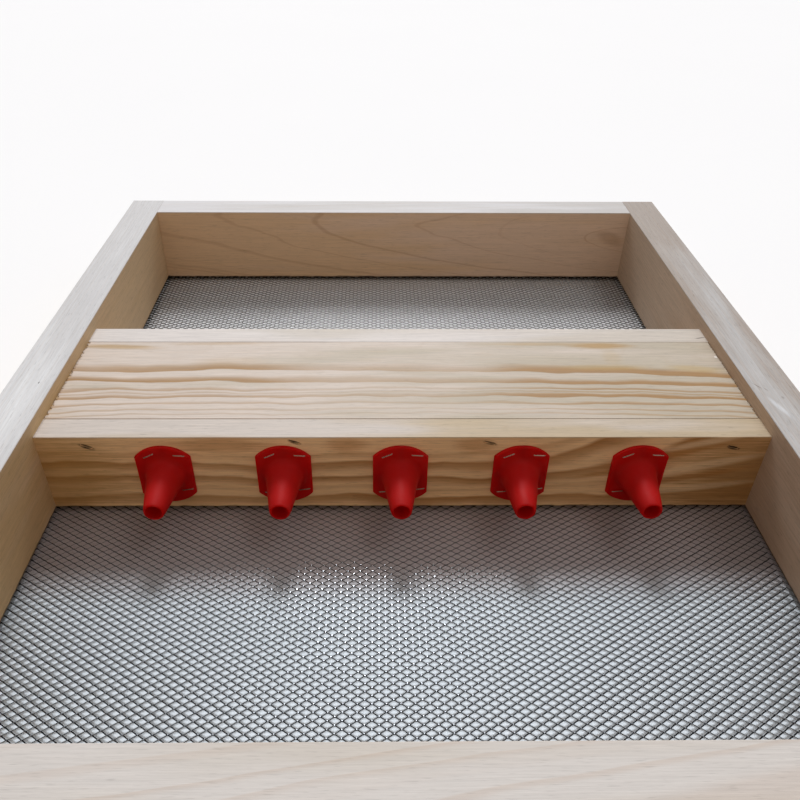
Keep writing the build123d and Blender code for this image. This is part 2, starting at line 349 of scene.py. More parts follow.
boardLooks = {
    "left_side_rail": {
        "along": "Y", "pith": (-420.0, -60.0), "ringGap": 2.6, "wobble": 1.0, "foot": -190.0,
        "early": (0.65, 0.455, 0.24), "tone": (0.69, 0.51, 0.32), "late": (0.46, 0.30, 0.16),
        "top": (0.685, 0.685, 0.695), "litTopTone": (0.555, 0.545, 0.55), "shadeDrift": 0.0012, "faceRings": 0.14,
        "topRings": 0.1, "fibre": 0.14, "fleck": 0.26,
        "marks": [((-16.8, -198.1, 60.0), (1.1, 0.5, 4.0), (0, 0, 0), 0.9, (0.10, 0.09, 0.08))]},
    "right_side_rail": {
        "along": "Y", "pith": (330.0, -120.0), "ringGap": 1.6, "wobble": 1.1, "foot": 190.0,
        "early": (0.52, 0.38, 0.27), "tone": (0.58, 0.45, 0.34), "late": (0.36, 0.24, 0.16),
        "top": (0.455, 0.44, 0.435), "litTopTone": (0.35, 0.30, 0.265), "shadeDrift": 0.0012, "faceRings": 0.22,
        "topRings": 0.22, "fibre": 0.17, "fleck": 0.3,
        "marks": [((-20.0, 194.0, 60.0), (4.5, 0.6, 4.0), (0, 0, -32), 0.7, (0.16, 0.13, 0.11)),
                  ((-23.5, 197.5, 60.0), (2.5, 0.5, 4.0), (0, 0, -20), 0.6, (0.18, 0.15, 0.13)),
                  ((-40.0, 198.0, 60.0), (13.0, 2.2, 4.0), (0, 0, -16), 0.5, (0.68, 0.70, 0.74)),
                  ((-31.0, 203.5, 60.0), (1.6, 1.0, 4.0), (0, 0, 0), 0.5, (0.22, 0.19, 0.17))]},
    "rear_end_rail": {
        "pith": (188.0, 49.0), "lean": (0.10, -0.06), "ringGap": 7.5, "wobble": 3.0, "lateStart": 0.84,
        "foot": 225.0,
        "early": (0.73, 0.55, 0.38), "tone": (0.73, 0.58, 0.47), "late": (0.46, 0.28, 0.16),
        "top": (0.60, 0.585, 0.595), "litTopTone": (0.51, 0.485, 0.47), "shadeDrift": 0.0012, "faceRings": 0.4,
        "topRings": 0.15,
        "marks": [((178.0, 225.0, 38.0), (16.0, 4.0, 7.0), (0, 25, 0), 0.35, (0.36, 0.20, 0.10))]},
    "front_end_rail": {
        "pith": (-262.0, 20.0), "lean": (0.08, 0.05), "ringGap": 5.5, "wobble": 1.8, "lateStart": 0.5,
        "foot": -225.0,
        "early": (0.64, 0.47, 0.32), "tone": (0.62, 0.47, 0.34), "late": (0.42, 0.25, 0.14),
        "top": (0.60, 0.56, 0.53), "litTopTone": (0.56, 0.51, 0.46)},
    "tunnel_front_rail": {
        "pith": (-47.0, -140.0), "ringGap": 1.7, "wobble": 1.2, "wobbleLength": 48.0, "wobbleAcross": 30.0,
        "foot": -55.0, "early": (0.96, 0.71, 0.435), "tone": (0.90, 0.65, 0.39), "late": (0.42, 0.20, 0.06),
        "top": (0.54, 0.475, 0.425), "litTopTone": (0.46, 0.36, 0.24), "topAt": 52.0, "shadeDrift": 0.0010,
        "fibre": 0.16, "fleck": 0.22, "faceRings": 0.04, "topRings": 0.35,
        "fan": (40.0, 1.34e-5),  # mm along at which the rings start to fan out, and how fast
        "linesOn": "face", "linePlace": fanPlace, "linesFrom": 0.0, "linesTo": 60.0,
        "lineEdge": 1.6, "lineWobble": 4.6,
        "lines": [(10.5, -7.0, 0.85), (17.2, -2.6, 0.3), (24.4, -5.6, 0.95), (34.6, -6.4, 0.9),
                  (41.0, -3.4, 0.35)],
        "marks": [((-94.0, -55.0, 47.0), (34.0, 1.0, 8.5), (0, 0, 0), 0.5, (0.50, 0.23, 0.07)),
                  ((-30.0, -55.0, 47.0), (15.0, 1.0, 8.0), (0, 0, 0), 0.5, (0.50, 0.23, 0.07)),
                  ((37.0, -55.0, 47.0), (15.0, 1.0, 7.0), (0, 0, 0), 0.45, (0.50, 0.23, 0.07)),
                  # painted shade: these two broad dark patches darken the face towards its ends, where the
                  # side rails shade it
                  ((-190.0, -55.0, 26.0), (62.0, 1.0, 44.0), (0, 0, 0), 0.52, (0.40, 0.21, 0.03)),
                  ((190.0, -55.0, 24.0), (62.0, 1.0, 44.0), (0, 0, 0), 0.85, (0.38, 0.20, 0.06)),
                  ((154.0, -55.0, 47.5), (34.0, 1.0, 3.4), (0, -15, 0), 0.5, (0.95, 0.76, 0.52)),
                  ((160.0, -55.0, 33.0), (46.0, 1.0, 4.0), (0, -14, 0), 0.5, (0.95, 0.76, 0.52)),
                  ((160.0, -55.0, 17.5), (44.0, 1.0, 3.4), (0, -8, 0), 0.45, (0.95, 0.76, 0.52)),
                  ((138.0, -55.0, 39.5), (44.0, 1.0, 3.6), (0, -15, 0), 0.7, (0.46, 0.22, 0.06)),
                  ((154.0, -55.0, 25.0), (46.0, 1.0, 3.0), (0, -12, 0), 0.7, (0.44, 0.21, 0.06)),
                  ((110.0, -55.0, 28.0), (24.0, 1.0, 2.6), (0, -10, 0), 0.6, (0.46, 0.22, 0.06)),
                  # painted shadow: these four near-black spots lie in the dents of the sunk staples
                  ((-164.0, -55.0, 46.0), (5.2, 1.6, 1.7), (0, 23, 0), 0.95, (0.02, 0.013, 0.008)),
                  ((-56.6, -55.0, 48.9), (4.6, 1.6, 1.4), (0, 20, 0), 0.95, (0.02, 0.013, 0.008)),
                  ((44.6, -55.0, 48.2), (4.6, 1.6, 1.3), (0, 15, 0), 0.95, (0.02, 0.013, 0.008)),
                  ((172.0, -55.0, 44.9), (4.6, 1.6, 1.7), (0, 17, 0), 0.95, (0.02, 0.013, 0.008))]},
    "tunnel_rear_rail": {
        "pith": (47.0, -140.0), "ringGap": 1.9, "wobble": 1.3, "foot": 55.0,
        "early": (0.64, 0.48, 0.32), "late": (0.42, 0.25, 0.13),
        "top": (0.62, 0.57, 0.54), "litTopTone": (0.54, 0.48, 0.42), "topAt": 52.0, "shadeDrift": 0.0008,
        "fibre": 0.2,
        "marks": [((186.5, 43.9, 52.0), (4.6, 0.55, 4.0), (0, 0, 12), 0.95, (0.05, 0.035, 0.03))]},
}
for name, changes in boardLooks.items():
    paintNode(name, pineMaterial("pine_" + name, changes))
print("pine boards:", len(boardLooks))


# Plank over the tunnel: open seams along its edges and torn fibres at its ends

def plankPlace(tree, run, across, up):
    # the rings arch along the plank, droop at its right end and slant where they lie further back
    fromCrest = calc(tree, "SUBTRACT", run, plank["crest"])
    pastBend = calc(tree, "MAXIMUM", calc(tree, "SUBTRACT", run, plank["bend"]), 0.0)
    slant = rescale(tree, across, *plank["slantFrom"], 0.0, plank["slant"])
    place = calc(tree, "MULTIPLY_ADD", calc(tree, "MULTIPLY", fromCrest, fromCrest), plank["arch"], across)
    place = calc(tree, "MULTIPLY_ADD", calc(tree, "MULTIPLY", pastBend, pastBend), plank["droop"], place)
    return calc(tree, "MULTIPLY_ADD", run, slant, place)


plank = {
    "node": "tunnel_cover",
    "frontGaps": (0.35, 0.15),  # at the left and at the right end
    # mm along the rear seam, and how wide it is there
    "rearGaps": [(-190.0, 0.4), (-46.0, 0.34), (-34.0, 0.05), (120.0, 0.08), (190.0, 0.16)],
    "endGap": 0.06,
    "tears": (2.0, 0.9),  # deepest notch in the left and in the right end
    "tearPower": 2,  # the higher it is, the rarer deep notches are
    "tornLayer": 0.5,
    "tornStop": 0.2,  # mm in front of the rear edge
    "endSteps": 150,
    "edgeSteps": 90,
    "seed": 4,
    "crest": 20.0,  # mm along at which the arch of the rings is highest
    "arch": 6e-5,
    "bend": 130.0,  # mm along at which they start to droop
    "droop": 0.001,
    "slantFrom": (-15.0, -3.0),  # mm across
    "slant": 0.014,
    "look": {
        "pith": (60.0, -240.0), "ringGap": 1.8, "wobble": 4.2, "wobbleLength": 42.0, "wobbleAcross": 18.0,
        "early": (0.66, 0.50, 0.30), "tone": (0.60, 0.44, 0.26), "late": (0.33, 0.185, 0.07),
        "top": (0.575, 0.49, 0.425), "litTopTone": (0.455, 0.39, 0.305), "topAt": 52.0, "shadeDrift": 0.0012,
        "topRings": 0.08, "fibre": 0.16, "lineDepth": 1.15, "lineEdge": 0.5, "middleDepth": 0.6,
        "rightDepth": 1.4, "linesOn": "top", "linePlace": plankPlace,
        "linesFrom": -45.0, "linesTo": 45.0,
        "lines": [(-34.6, 1.5, 0.4), (-30.6, 1.6, 0.45), (-25.2, 2.4, 0.6),
                  (-18.6, 3.6, 0.85), (-14.4, 1.6, 0.45), (-11.4, 2.4, 0.6), (-4.3, 6.0, 0.9),
                  (7.0, 8.4, 0.85)],
        "marks": [((-170.0, 33.4, 52.0), (34.0, 3.6, 9.0), (0, 0, -3), 0.8, (0.40, 0.255, 0.11)),
                  ((-110.0, 37.0, 52.0), (40.0, 2.2, 9.0), (0, 0, 1), 0.45, (0.42, 0.27, 0.13)),
                  ((122.0, 34.6, 52.0), (26.0, 5.0, 9.0), (0, 0, 0), 0.9, (0.40, 0.245, 0.095)),
                  ((85.0, 36.5, 52.0), (46.0, 2.4, 9.0), (0, 0, 0), 0.5, (0.42, 0.27, 0.12)),
                  ((126.0, 22.0, 52.0), (8.0, 12.0, 9.0), (0, 0, 0), 0.26, (0.44, 0.30, 0.13)),
                  ((120.0, 10.5, 52.0), (36.0, 4.6, 9.0), (0, 0, 0), 0.5, (0.42, 0.28, 0.10)),
                  ((-100.0, 17.0, 52.0), (30.0, 6.0, 9.0), (0, 0, 0), 0.26, (0.46, 0.31, 0.15)),
                  ((172.0, 9.0, 52.0), (24.0, 5.0, 9.0), (0, 0, -6), 0.5, (0.46, 0.31, 0.11)),
                  ((188.6, 22.0, 52.0), (1.6, 1.3, 9.0), (0, 0, 0), 0.9, (0.85, 0.82, 0.78))],
    },
}


def rearGap(x):
    for (start, first), (end, second) in zip(plank["rearGaps"], plank["rearGaps"][1:]):
        if x <= end:
            break
    return first + (second - first) * (x - start) / (end - start)


def plankOutline(low, high, chance, torn):
    def inset(tear):
        notch = chance.random() ** plank["tearPower"] * tear if torn else 0.0
        return (plank["endGap"] + notch) * mm

    points = []
    ends, edge = plank["endSteps"], plank["edgeSteps"]
    leftTear, rightTear = plank["tears"]
    left, right = (low.y + gap * mm for gap in plank["frontGaps"])
    rear = high.y - plank["tornStop"] * mm
    for step in range(ends + 1):  # left end, front to rear
        points.append((low.x + inset(leftTear), left + (rear - left) * step / ends))
    for step in range(1, edge):
        x = low.x + (high.x - low.x) * step / edge
        points.append((x, high.y - rearGap(x / mm) * mm))
    for step in range(ends + 1):  # right end, rear to front
        points.append((high.x - inset(rightTear), rear + (right - rear) * step / ends))
    return points


def makePlank():
    low, high = (Vector(corner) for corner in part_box(plank["node"]))
    chance = random.Random(plank["seed"])
    seam = high.z - plank["tornLayer"] * mm
    mesh = bmesh.new()
    for bottom, top, torn in ((low.z, seam, False), (seam, high.z, True)):
        outline = plankOutline(low, high, chance, torn)
        lower = [mesh.verts.new((x, y, bottom)) for x, y in outline]
        upper = [mesh.verts.new((x, y, top)) for x, y in outline]
        mesh.faces.new(lower)
        mesh.faces.new(upper[::-1])
        for i in range(len(outline)):
            j = (i + 1) % len(outline)
            mesh.faces.new((lower[j], lower[i], upper[i], upper[j]))
    bmesh.ops.recalc_face_normals(mesh, faces=mesh.faces)
    finishMesh("plank", mesh, plank["node"], pineMaterial("pine_plank", plank["look"]))


makePlank()
print("plank laid over the tunnel")


# Cones: flange with two straight sides, hollow horn with a rounded root and tip

cone = {
    "count": 5,
    "flangeRadius": 19.0,
    "flangeHalfWidth": 14.5,
    "length": 30.0,
    "quarterSteps": (10, 12),  # along a straight side, along an arc
    # depth from the rail's face and radius, from the flange to the tip and back through the bore
    "horn": [(1.6, 13.0), (1.66, 12.3), (1.9, 11.5), (2.4, 10.8), (3.2, 10.2), (4.4, 9.75), (8.0, 9.0),
             (13.0, 8.12), (18.0, 7.29), (23.0, 6.46), (27.0, 5.75), (29.0, 5.3), (29.6, 5.1), (29.9, 4.85),
             (30.0, 4.55), (29.9, 4.3), (29.6, 4.12), (29.0, 4.05), (24.0, 4.8), (16.0, 6.0), (8.0, 7.25),
             (0.0, 8.5)],
    "aim": [0.0, 0.4, 0.0, -1.3, 0.2],  # how far each tip strays to the side
    # depth and how far in from the flange's outline
    "rim": [(0.0, 0.0), (1.1, 0.0), (1.4, 0.1), (1.56, 0.3), (1.6, 0.6)],
    "cornerLift": 0.5,
    "liftPower": 8,  # how closely the lift keeps to the corners
    "smoothAngle": 50.0,
    "face": -55.0,  # where the flanges lie against the rail
    "lightLevels": (1.14, 0.92),  # painted light: level of the colour at the flange, which lies in shade, and at the tip, which lies in the light
    "red": (0.60, 0.014, 0.013),
    "deepRed": (0.52, 0.009, 0.008),
    "deepShare": 0.5,
    "cloudScale": (160.0, 160.0, 160.0),  # per m
    "grainScale": (2600.0, 900.0, 2600.0),
    "roughness": (0.47, 0.60),
    "specular": 0.14,
    "bump": (0.12, 0.1),  # strength, and mm
    "scatter": (1.0, 0.04, 0.03),  # how far each colour spreads in the plastic, and the longest way in mm
    "scatterReach": 6.0,
    "glow": 0.37,  # share of the light that comes through the wall
    "glowRed": (0.95, 0.012, 0.012),
    "seed": 11,
}
flangeFace = cone["horn"][0][0]  # depth at which the horn leaves the flange


def conePlastic():
    material, tree, shader = newMaterial("red_plastic")
    where = objectPlace(tree)
    cloud = scaledNoise(tree, where, cone["cloudScale"], detail=3.0)
    grain = scaledNoise(tree, where, cone["grainScale"])
    colour = blendColours(tree, fromNoise(tree, cloud, 0.0, cone["deepShare"]), cone["red"], cone["deepRed"])
    # painted light: paler at the flange, which lies in shade, than at the tip, which lies in the light
    tip = cone["face"] - cone["length"]
    level = rescale(tree, axesOf(tree, where)[1], cone["face"] * mm, tip * mm, *cone["lightLevels"])
    tree.links.new(dim(tree, colour, level), shader.inputs["Base Color"])
    tree.links.new(fromNoise(tree, cloud, *cone["roughness"]), shader.inputs["Roughness"])
    addBump(tree, shader, grain, *cone["bump"])
    shader.inputs["Specular IOR Level"].default_value = cone["specular"]
    shader.inputs["Subsurface Weight"].default_value = 1.0
    shader.inputs["Subsurface Radius"].default_value = cone["scatter"]
    shader.inputs["Subsurface Scale"].default_value = cone["scatterReach"] * mm
    glow = dim(tree, cone["glowRed"], level)
    through = addNode(tree, "ShaderNodeBsdfTranslucent", {"Color": glow}).outputs[0]
    mixed = addNode(tree, "ShaderNodeMixShader", {0: cone["glow"], 1: shader.outputs[0], 2: through})
    tree.links.new(mixed.outputs[0], tree.nodes["Material Output"].inputs[0])
    return material


def flangeEdge(angle, inset):
    straight = (cone["flangeHalfWidth"] - inset) / max(abs(math.cos(angle)), 1e-6)
    return min(cone["flangeRadius"] - inset, straight)


def makeCone(number, plastic, chance):
    node = f"escape_cone_{number}"
    low, high = (Vector(corner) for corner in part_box(node))
    middle = (low + high) / 2
    corner = math.acos(cone["flangeHalfWidth"] / cone["flangeRadius"])
    sideSteps, arcSteps = cone["quarterSteps"]
    quarter = [corner * i / sideSteps for i in range(sideSteps)]
    quarter += [corner + (math.pi / 2 - corner) * i / arcSteps for i in range(arcSteps)]
    angles = quarter + [math.pi - a for a in reversed(quarter[1:] + [math.pi / 2])]
    angles += [a + math.pi for a in angles]
    lifts = [chance.uniform(0.0, cone["cornerLift"]) for _ in range(4)]
    mesh = bmesh.new()
    rings = []
    for depth, inset in cone["rim"]:
        ring = []
        for a in angles:
            reach = flangeEdge(a, inset)
            lift = lifts[int(a // (math.pi / 2)) % 4] * math.sin(2 * a) ** cone["liftPower"]
            ring.append((reach * math.cos(a), depth + lift, reach * math.sin(a)))
        rings.append(ring)
    aim = cone["aim"][number - 1] / cone["length"]
    for depth, reach in cone["horn"]:
        stray = aim * (depth - flangeFace)
        rings.append([(reach * math.cos(a) + stray, depth, reach * math.sin(a)) for a in angles])
    rows = [[mesh.verts.new((middle.x + x * mm, high.y - d * mm, middle.z + z * mm)) for x, d, z in ring]
            for ring in rings]
    for first, second in zip(rows, rows[1:] + rows[:1]):
        for i in range(len(angles)):
            j = (i + 1) % len(angles)
            mesh.faces.new((first[i], first[j], second[j], second[i]))
    bmesh.ops.recalc_face_normals(mesh, faces=mesh.faces)
    finishMesh(f"cone_{number}", mesh, node, plastic, smoothAngle=cone["smoothAngle"])


plastic = conePlastic()
chance = random.Random(cone["seed"])
for number in range(1, cone["count"] + 1):
    makeCone(number, plastic, chance)
print("cones:", cone["count"])


# Geometry Nodes

def newTree(name, inputs):
    tree = bpy.data.node_groups.new(name, "GeometryNodeTree")
    keys = {}
    tree.interface.new_socket(name="Geometry", in_out="INPUT", socket_type="NodeSocketGeometry")
    for label, (kind, value) in inputs.items():
        socket = tree.interface.new_socket(name=label, in_out="INPUT", socket_type="NodeSocket" + kind)
        socket.default_value = value
        keys[label] = socket.identifier
    tree.interface.new_socket(name="Geometry", in_out="OUTPUT", socket_type="NodeSocketGeometry")
    entry = addNode(tree, "NodeGroupInput")
    return tree, entry.outputs, keys


def closeTree(tree, geometry, material):
    whole = addNode(tree, "GeometryNodeRealizeInstances", {0: geometry}).outputs[0]
    painted = addNode(tree, "GeometryNodeSetMaterial", {"Geometry": whole, "Material": material}).outputs[0]
    addNode(tree, "NodeGroupOutput", {0: painted})


def growPiece(name, base, tree, keys, values, node, material):
    # runs the tree on the base mesh once and keeps the result as a plain mesh
    holder = bpy.data.objects.new(name + "_base", base)
    bpy.context.scene.collection.objects.link(holder)
    modifier = holder.modifiers.new(tree.name, "NODES")
    modifier.node_group = tree
    for label, value in values.items():
        modifier[keys[label]] = value
    graph = bpy.context.evaluated_depsgraph_get()
    data = bpy.data.meshes.new_from_object(holder.evaluated_get(graph))
    holder.modifiers.clear()
    bpy.data.objects.remove(holder)
    data.name = name
    data.materials.clear()
    data.materials.append(material)
    addPiece(name, data, node)


def metalMaterial(name, bright, dull, roughness, scale, railShade=None, glintTops=None):
    material, tree, shader = newMaterial(name)
    where = objectPlace(tree)
    cloud = scaledNoise(tree, where, (scale, scale, scale), detail=3.0)
    colour = blendColours(tree, fromNoise(tree, cloud), bright, dull)
    if glintTops is not None:
        # painted highlight: lighter metal on faces that lie almost flat, so that they glint
        facing = addNode(tree, "ShaderNodeTexCoord").outputs["Normal"]
        level = rescale(tree, axesOf(tree, facing)[2], 0.95, 0.98)  # only faces that lie almost flat
        colour = blendColours(tree, level, colour, glintTops)
    # painted shade: the metal darker towards the sides and near-black along the rails
    if railShade is not None:
        x, y = (inMillimetres(tree, calc(tree, "ABSOLUTE", axis)) for axis in axesOf(tree, where)[:2])
        gap = calc(tree, "SUBTRACT", railShade["sides"], x)
        for pair in ((railShade["ends"], y), (y, railShade["tunnel"])):
            gap = calc(tree, "MINIMUM", gap, calc(tree, "SUBTRACT", *pair))
        colour = dim(tree, colour, rescale(tree, x, *railShade["sideShade"]))
        share = rescale(tree, gap, *railShade["edge"], 0.0, railShade["depth"])
        colour = blendColours(tree, share, colour, railShade["colour"])
    tree.links.new(colour, shader.inputs["Base Color"])
    tree.links.new(fromNoise(tree, cloud, *roughness), shader.inputs["Roughness"])
    shader.inputs["Metallic"].default_value = 1.0
    addBump(tree, shader, cloud, strength=0.15, depth=0.05)
    return material


# Expanded metal: rows of zigzag strands that meet at the knots

expandedMetal = {
    "longWay": 6.2,
    "shortWay": 3.9,
    # the two sheets lie with different sides up, so their strands lean to the rear or to the front
    "sheets": {
        "front_mesh_panel": {
            "width": 0.8, "thickness": 0.18, "tilt": -32.0, "smooth": False,
            # painted shade: far darker than the rear sheet, with lighter metal painted on the flat tops of
            # the knots so that they glint
            "bright": (0.07, 0.074, 0.081), "dull": (0.053, 0.055, 0.061), "glintTops": (0.5, 0.52, 0.56)},
        "rear_mesh_panel": {
            "width": 0.74, "thickness": 0.32, "tilt": 60.0, "smooth": True,
            "bright": (0.43, 0.43, 0.44), "dull": (0.32, 0.32, 0.327), "glintTops": None},
    },
    "rise": 0.2,  # of a strand from one knot to the next
    "knot": 0.44,  # half the width of the flattened metal where two strands hold together
    "knotTop": 0.6,  # half the width of its top and its height, as shares of that
    "knotHeight": 0.15,
    "knotLift": 0.46,  # share of the width of an upright strand
    "drop": 0.4,  # below the middle of the sheet's place in the rebate
    "sideGap": 0.5,
    "roughness": (0.22, 0.40),
    "cloudScale": 900.0,  # per m
    # painted shade on the metal along the rails: mm from the middle to each line,
    # and from the line to where the shade begins and where it is full
    "railShade": {"sides": 190.0, "ends": 225.0, "tunnel": 55.0, "edge": (5.0, 0.5), "depth": 0.9,
              "colour": (0.03, 0.028, 0.026),
              "sideShade": (50.0, 190.0, 1.0, 0.72)},  # painted shade towards the sides: two distances from the middle, and the levels there
}


def strandTree(material):
    tree, given, keys = newTree("expanded_metal", {
        "Width": ("Float", 0.4), "Rows": ("Int", 90), "Start": ("Vector", (0.0, 0.0, 0.0)),
        "Long Way": ("Float", 0.006), "Short Way": ("Float", 0.004), "Rise": ("Float", 0.0003),
        "Strand Width": ("Float", 0.001), "Strand Thickness": ("Float", 0.0005), "Tilt": ("Float", 0.6),
        "Knot": ("Float", 0.0005), "Smooth": ("Bool", True)})
    half = calc(tree, "MULTIPLY", given["Long Way"], 0.5)
    count = calc(tree, "FLOOR", calc(tree, "DIVIDE", given["Width"], half))
    index = addNode(tree, "GeometryNodeInputIndex").outputs[0]
    odd = calc(tree, "MODULO", index, 2.0)
    even = calc(tree, "LESS_THAN", odd, 0.5)
    side = calc(tree, "MULTIPLY_ADD", odd, -2.0, 1.0)

    line = addNode(tree, "GeometryNodeMeshLine", {"Count": count, "Offset": xyz(tree, half)}).outputs[0]
    zigzag = xyz(tree, 0.0, calc(tree, "MULTIPLY", side, calc(tree, "MULTIPLY", given["Short Way"], 0.25)),
                 calc(tree, "MULTIPLY", side, given["Rise"]))
    line = addNode(tree, "GeometryNodeSetPosition", {"Geometry": line, "Offset": zigzag}).outputs[0]
    path = addNode(tree, "GeometryNodeMeshToCurve", {0: line}).outputs[0]
    path = addNode(tree, "GeometryNodeSetCurveNormal", {0: path}, mode="Z_UP").outputs[0]
    ribbon = addNode(tree, "GeometryNodeCurvePrimitiveQuadrilateral",
                     {"Width": given["Strand Width"], "Height": given["Strand Thickness"]}).outputs[0]
    ribbon = addNode(tree, "GeometryNodeTransform",
                     {"Geometry": ribbon, "Rotation": xyz(tree, 0.0, 0.0, given["Tilt"])}).outputs[0]
    strand = addNode(tree, "GeometryNodeCurveToMesh", {0: path, 1: ribbon, "Fill Caps": True}).outputs[0]
    strand = addNode(tree, "GeometryNodeSetShadeSmooth",
                     {"Geometry": strand, "Shade Smooth": given["Smooth"]}).outputs[0]
    knot = addNode(tree, "GeometryNodeMeshCone", {
        "Vertices": 4, "Radius Bottom": given["Knot"],
        "Radius Top": calc(tree, "MULTIPLY", given["Knot"], expandedMetal["knotTop"]),
        "Depth": calc(tree, "MULTIPLY", given["Knot"], expandedMetal["knotHeight"])}).outputs[0]
    lean = calc(tree, "ABSOLUTE", calc(tree, "SINE", given["Tilt"]))
    lean = calc(tree, "MULTIPLY", lean, expandedMetal["knotLift"])
    lift = calc(tree, "MULTIPLY", given["Strand Width"], lean)
    knot = addNode(tree, "GeometryNodeTransform",
                   {"Geometry": knot, "Translation": xyz(tree, 0.0, 0.0, lift)}).outputs[0]
    knots = addNode(tree, "GeometryNodeInstanceOnPoints",
                    {"Points": line, "Instance": knot, "Selection": even}).outputs[0]
    joined = addNode(tree, "GeometryNodeJoinGeometry")
    for geometry in (strand, knots):
        tree.links.new(geometry, joined.inputs[0])

    rows = addNode(tree, "GeometryNodeMeshLine",
                   {"Count": given["Rows"], "Start Location": given["Start"],
                    "Offset": xyz(tree, 0.0, calc(tree, "MULTIPLY", given["Short Way"], 0.5))}).outputs[0]
    stagger = xyz(tree, calc(tree, "MULTIPLY", odd, half))
    rows = addNode(tree, "GeometryNodeSetPosition", {"Geometry": rows, "Offset": stagger}).outputs[0]
    sheet = addNode(tree, "GeometryNodeInstanceOnPoints", {"Points": rows, "Instance": joined.outputs[0]})
    closeTree(tree, sheet.outputs[0], material)
    return tree, keys


def makeSheets():
    longWay, shortWay = expandedMetal["longWay"] * mm, expandedMetal["shortWay"] * mm
    for node, sheet in expandedMetal["sheets"].items():
        metal = metalMaterial("metal_" + node, sheet["bright"], sheet["dull"], expandedMetal["roughness"],
                              expandedMetal["cloudScale"], expandedMetal["railShade"], sheet["glintTops"])
        tree, keys = strandTree(metal)
        low, high = (Vector(corner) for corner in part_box(node))
        start = Vector((low.x + expandedMetal["sideGap"] * mm, low.y + shortWay / 2,
                        (low.z + high.z) / 2 - expandedMetal["drop"] * mm))
        values = {
            "Width": high.x - low.x - longWay, "Rows": int((high.y - low.y) / (shortWay / 2)) - 1,
            "Long Way": longWay, "Short Way": shortWay, "Start": start,
            "Strand Width": sheet["width"] * mm, "Strand Thickness": sheet["thickness"] * mm,
            "Rise": expandedMetal["rise"] * mm, "Knot": expandedMetal["knot"] * mm,
            "Tilt": math.radians(sheet["tilt"]), "Smooth": sheet["smooth"]}
        growPiece(node.replace("panel", "strands"), bpy.data.meshes.new(node + "_seed"), tree, keys, values,
                  node, metal)


makeSheets()
print("expanded metal laid in both bays")


# Staples: bent wire, driven by hand and never quite square

staple = {
    "crown": 6.4,
    "wire": 0.62,
    "bend": 0.5,
    "bright": (0.62, 0.45, 0.37),
    "dull": (0.42, 0.29, 0.24),
    "roughness": (0.22, 0.40),
    # painted shade: the sunk wire is near black, for the shade in its slot
    "sunkShadedBright": (0.06, 0.05, 0.04),
    "sunkShadedDull": (0.03, 0.025, 0.02),
    "sunkRoughness": (0.42, 0.60),
    "cloudScale": 1500.0,  # per m
    "coneLeg": 12.0,
    # across and up from the middle of the cone, and turn
    "coneDrift": [(-7.1, 13.4, 26.0), (8.8, 13.6, -3.0), (-8.2, -11.6, 6.0), (10.2, -9.8, 9.0)],
    "sink": 0.7,
    "coverLeg": 30.0,
    "coverMargin": 22.0,
    # along and up from an even row, and turn
    "coverDrift": [(4.0, 0.0, -23.0), (-0.6, 2.9, -20.0), (-11.4, 2.2, -15.0), (4.0, -1.1, -17.0)],
}


def stapleTree(name, material):
    tree, given, keys = newTree(name, {"Crown": ("Float", 0.006), "Leg": ("Float", 0.01),
                                       "Wire": ("Float", 0.0009), "Bend": ("Float", 0.0007)})
    index = addNode(tree, "GeometryNodeInputIndex").outputs[0]
    side = calc(tree, "MULTIPLY_ADD", calc(tree, "GREATER_THAN", index, 1.5), 2.0, -1.0)
    isEnd = calc(tree, "GREATER_THAN", calc(tree, "ABSOLUTE", calc(tree, "SUBTRACT", index, 1.5)), 1.0)
    reach = calc(tree, "MULTIPLY", calc(tree, "SUBTRACT", given["Crown"], given["Wire"]), 0.5)
    corner = xyz(tree, calc(tree, "MULTIPLY", side, reach), 0.0,
                 calc(tree, "MULTIPLY_ADD", calc(tree, "MULTIPLY", isEnd, given["Leg"]), -1.0,
                      calc(tree, "MULTIPLY", given["Wire"], -0.5)))
    line = addNode(tree, "GeometryNodeMeshLine", {"Count": 4}).outputs[0]
    line = addNode(tree, "GeometryNodeSetPosition", {"Geometry": line, "Position": corner}).outputs[0]
    path = addNode(tree, "GeometryNodeMeshToCurve", {0: line}).outputs[0]
    path = addNode(tree, "GeometryNodeFilletCurve", {"Curve": path, "Count": 4, "Radius": given["Bend"]},
                   mode="POLY").outputs[0]
    wire = addNode(tree, "GeometryNodeCurvePrimitiveCircle",
                   {"Resolution": 10, "Radius": calc(tree, "MULTIPLY", given["Wire"], 0.5)}).outputs[0]
    bent = addNode(tree, "GeometryNodeCurveToMesh", {0: path, 1: wire, "Fill Caps": True}).outputs[0]
    bent = addNode(tree, "GeometryNodeSetShadeSmooth", {0: bent}).outputs[0]
    turn = addNode(tree, "GeometryNodeInputNamedAttribute", {"Name": "turn"}, data_type="FLOAT_VECTOR")
    turn = addNode(tree, "FunctionNodeEulerToRotation", {0: turn.outputs[0]}).outputs[0]
    placed = addNode(tree, "GeometryNodeInstanceOnPoints",
                     {"Points": given["Geometry"], "Instance": bent, "Rotation": turn}).outputs[0]
    closeTree(tree, placed, material)
    return tree, keys


def staplePoints(name, places):
    # one point for each staple: the top of its crown, and the turn that lays it into its face
    data = bpy.data.meshes.new(name)
    data.from_pydata([point for point, turn in places], [], [])
    turns = data.attributes.new("turn", "FLOAT_VECTOR", "POINT")
    for item, (point, turn) in zip(turns.data, places):
        item.vector = turn
    return data


def facePlace(point, outwards, alongFace, tilt):
    # crown along the given direction, turned by the tilt about the outward normal
    normal, along = Vector(outwards), Vector(alongFace)
    along = Matrix.Rotation(math.radians(tilt), 3, normal) @ along
    axes = Matrix((along, normal.cross(along), normal)).transposed()
    return (point, axes.to_euler())


